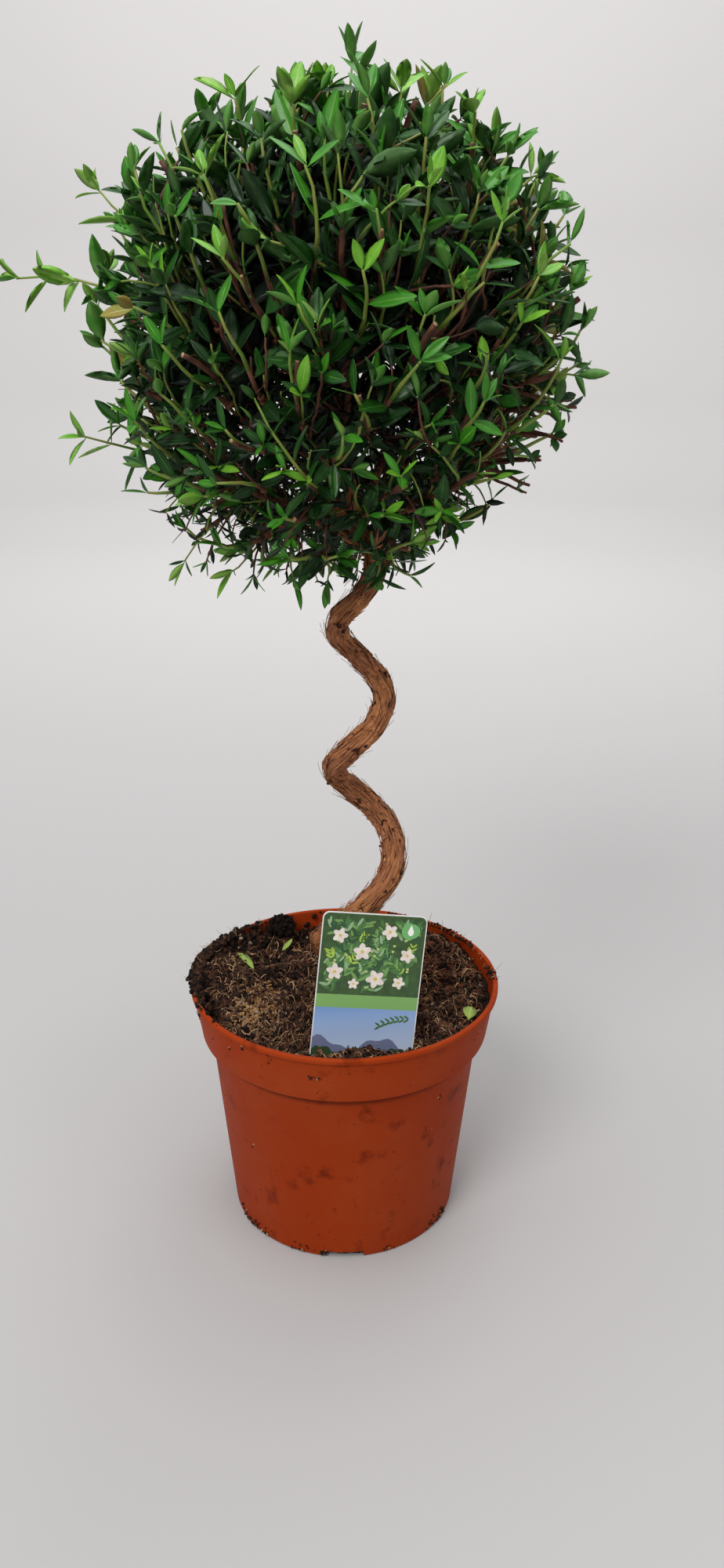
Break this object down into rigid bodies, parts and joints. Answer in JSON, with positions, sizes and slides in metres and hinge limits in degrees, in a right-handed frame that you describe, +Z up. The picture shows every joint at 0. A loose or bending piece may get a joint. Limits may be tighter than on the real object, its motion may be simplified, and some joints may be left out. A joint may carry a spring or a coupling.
{
  "type": "potted lollipop topiary",
  "caption": "Clipped ball of small glossy evergreen leaves on a corkscrew stem, standing in a round plastic nursery pot with compost and a plant label.",
  "frame": {"origin": "middle of the pot's flat underside", "axes": "+Z up along the pot's axis, -Y towards the side that the label faces, +X to the right of it"},
  "size_m": [0.2802, 0.2264, 0.5991],
  "materials": {
    "pot_plastic": "matte moulded",
    "compost": "loose peat",
    "label_card": "printed card",
    "bark": "fibrous bark",
    "leaves": "glossy leaf"
  },
  "bodies": {
    "root": {"pot": "pot_plastic", "compost": "compost", "label": "label_card", "trunk": "bark", "bough_top": "bark", "bough_upper_1": "bark", "bough_upper_2": "bark", "bough_upper_3": "bark", "bough_upper_4": "bark", "bough_upper_5": "bark", "bough_lower_1": "bark", "bough_lower_2": "bark", "bough_lower_3": "bark", "bough_lower_4": "bark", "bough_lower_5": "bark", "foliage_top": "leaves", "foliage_upper_1": "leaves", "foliage_upper_2": "leaves", "foliage_upper_3": "leaves", "foliage_upper_4": "leaves", "foliage_upper_5": "leaves", "foliage_lower_1": "leaves", "foliage_lower_2": "leaves", "foliage_lower_3": "leaves", "foliage_lower_4": "leaves", "foliage_lower_5": "leaves"}
  },
  "joints": []
}
